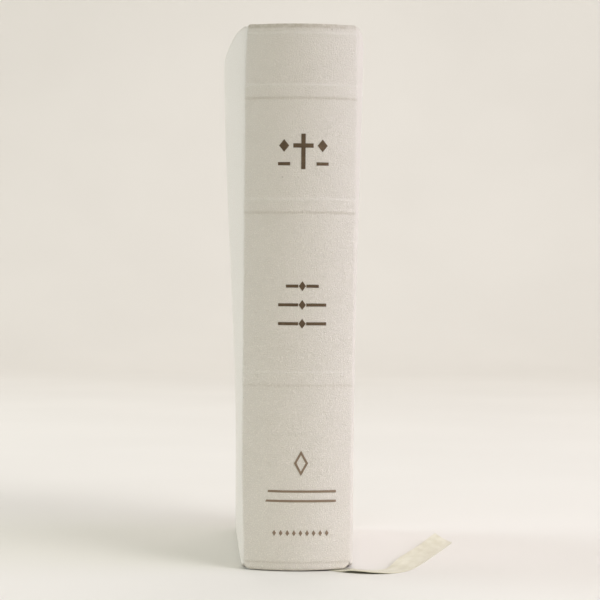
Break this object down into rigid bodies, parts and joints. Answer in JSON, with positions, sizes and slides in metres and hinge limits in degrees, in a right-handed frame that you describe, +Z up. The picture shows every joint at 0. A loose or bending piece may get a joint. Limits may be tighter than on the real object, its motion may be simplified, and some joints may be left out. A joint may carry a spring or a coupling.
{
  "type": "bible",
  "caption": "Leather-bound devotional book standing on its tail, with a rounded spine with raised bands, two hinged limp covers, fanning page stacks and a ribbon marker.",
  "frame": {"origin": "centre of the book's outline on the surface it stands on, measured without the free ribbon tail", "axes": "+Z up along the height, -Y towards the viewer of the spine, +X towards the front cover"},
  "size_m": [0.0967, 0.146, 0.216],
  "materials": {
    "cover_leather": "white bonded leather with a fine pebble grain, soft sheen",
    "card": "grey-brown millboard card",
    "liner_paper": "brown kraft paper",
    "mull_cloth": "open-weave starched cotton gauze",
    "thread": "waxed linen thread",
    "endband_silk": "woven cream and gold stripes over a cord",
    "bible_paper": "thin opaque paper with a gilt edge",
    "endpaper": "smooth cream endpaper",
    "ribbon_satin": "double-face satin ribbon, cream",
    "foil": "dark bronze stamping foil, slightly worn"
  },
  "bodies": {
    "book_block": {"spine_leather": "cover_leather", "raised_bands": "card", "spine_inlay": "card", "spine_liner": "liner_paper", "mull": "mull_cloth", "sewing_thread": "thread", "headband": "endband_silk", "tailband": "endband_silk", "core_pages": "bible_paper", "ribbon_inner": "ribbon_satin", "ribbon_tail": "ribbon_satin", "spine_foil": "foil"},
    "front_cover": {"front_cover_leather": "cover_leather", "front_board": "card", "front_pastedown": "endpaper"},
    "front_flyleaf": {"front_flyleaf": "endpaper"},
    "front_pages_5": {"front_pages_5": "bible_paper"},
    "front_pages_4": {"front_pages_4": "bible_paper"},
    "front_pages_3": {"front_pages_3": "bible_paper"},
    "front_pages_2": {"front_pages_2": "bible_paper"},
    "front_pages_1": {"front_pages_1": "bible_paper"},
    "back_cover": {"back_cover_leather": "cover_leather", "back_board": "card", "back_pastedown": "endpaper"},
    "back_flyleaf": {"back_flyleaf": "endpaper"},
    "back_pages_5": {"back_pages_5": "bible_paper"},
    "back_pages_4": {"back_pages_4": "bible_paper"},
    "back_pages_3": {"back_pages_3": "bible_paper"},
    "back_pages_2": {"back_pages_2": "bible_paper"},
    "back_pages_1": {"back_pages_1": "bible_paper"}
  },
  "joints": [
    {"name": "front_cover_open", "type": "hinge", "parent": "book_block", "child": "front_cover", "pos_m": [0.02179, -0.06286, 0.108], "axis": [0, 0, -1], "range_deg": [-1.7, 178.3]},
    {"name": "front_flyleaf_turn", "type": "hinge", "parent": "book_block", "child": "front_flyleaf", "pos_m": [0.02179, -0.06286, 0.108], "axis": [0, 0, -1], "range_deg": [-1.64, 170.3]},
    {"name": "front_pages_5_turn", "type": "hinge", "parent": "book_block", "child": "front_pages_5", "pos_m": [0.0188, -0.06241, 0.108], "axis": [0, 0, -1], "range_deg": [-0.8, 82.04]},
    {"name": "front_pages_4_turn", "type": "hinge", "parent": "book_block", "child": "front_pages_4", "pos_m": [0.017, -0.06287, 0.108], "axis": [0, 0, -1], "range_deg": [-0.36, 35.68]},
    {"name": "front_pages_3_turn", "type": "hinge", "parent": "book_block", "child": "front_pages_3", "pos_m": [0.0146, -0.06341, 0.108], "axis": [0, 0, -1], "range_deg": [-0.17, 15.18]},
    {"name": "front_pages_2_turn", "type": "hinge", "parent": "book_block", "child": "front_pages_2", "pos_m": [0.0116, -0.06397, 0.108], "axis": [0, 0, -1], "range_deg": [-0.08, 6.44]},
    {"name": "front_pages_1_turn", "type": "hinge", "parent": "book_block", "child": "front_pages_1", "pos_m": [0.0082, -0.06444, 0.108], "axis": [0, 0, -1], "range_deg": [-0.04, 2.69]},
    {"name": "back_cover_open", "type": "hinge", "parent": "book_block", "child": "back_cover", "pos_m": [-0.02179, -0.06286, 0.108], "axis": [0, 0, 1], "range_deg": [-1.7, 178.3]},
    {"name": "back_flyleaf_turn", "type": "hinge", "parent": "book_block", "child": "back_flyleaf", "pos_m": [-0.02179, -0.06286, 0.108], "axis": [0, 0, 1], "range_deg": [-1.64, 170.3]},
    {"name": "back_pages_5_turn", "type": "hinge", "parent": "book_block", "child": "back_pages_5", "pos_m": [-0.0188, -0.06241, 0.108], "axis": [0, 0, 1], "range_deg": [-0.8, 82.04]},
    {"name": "back_pages_4_turn", "type": "hinge", "parent": "book_block", "child": "back_pages_4", "pos_m": [-0.017, -0.06287, 0.108], "axis": [0, 0, 1], "range_deg": [-0.36, 35.68]},
    {"name": "back_pages_3_turn", "type": "hinge", "parent": "book_block", "child": "back_pages_3", "pos_m": [-0.0146, -0.06341, 0.108], "axis": [0, 0, 1], "range_deg": [-0.17, 15.18]},
    {"name": "back_pages_2_turn", "type": "hinge", "parent": "book_block", "child": "back_pages_2", "pos_m": [-0.0116, -0.06397, 0.108], "axis": [0, 0, 1], "range_deg": [-0.08, 6.44]},
    {"name": "back_pages_1_turn", "type": "hinge", "parent": "book_block", "child": "back_pages_1", "pos_m": [-0.0082, -0.06444, 0.108], "axis": [0, 0, 1], "range_deg": [-0.04, 2.69]}
  ],
  "couplings": [
    {"joint": "front_flyleaf_turn", "follows": "front_cover_open", "ratio": 0.955},
    {"joint": "front_pages_5_turn", "follows": "front_cover_open", "ratio": 0.46},
    {"joint": "front_pages_4_turn", "follows": "front_cover_open", "ratio": 0.2},
    {"joint": "front_pages_3_turn", "follows": "front_cover_open", "ratio": 0.085},
    {"joint": "front_pages_2_turn", "follows": "front_cover_open", "ratio": 0.036},
    {"joint": "front_pages_1_turn", "follows": "front_cover_open", "ratio": 0.015},
    {"joint": "back_flyleaf_turn", "follows": "back_cover_open", "ratio": 0.955},
    {"joint": "back_pages_5_turn", "follows": "back_cover_open", "ratio": 0.46},
    {"joint": "back_pages_4_turn", "follows": "back_cover_open", "ratio": 0.2},
    {"joint": "back_pages_3_turn", "follows": "back_cover_open", "ratio": 0.085},
    {"joint": "back_pages_2_turn", "follows": "back_cover_open", "ratio": 0.036},
    {"joint": "back_pages_1_turn", "follows": "back_cover_open", "ratio": 0.015}
  ]
}
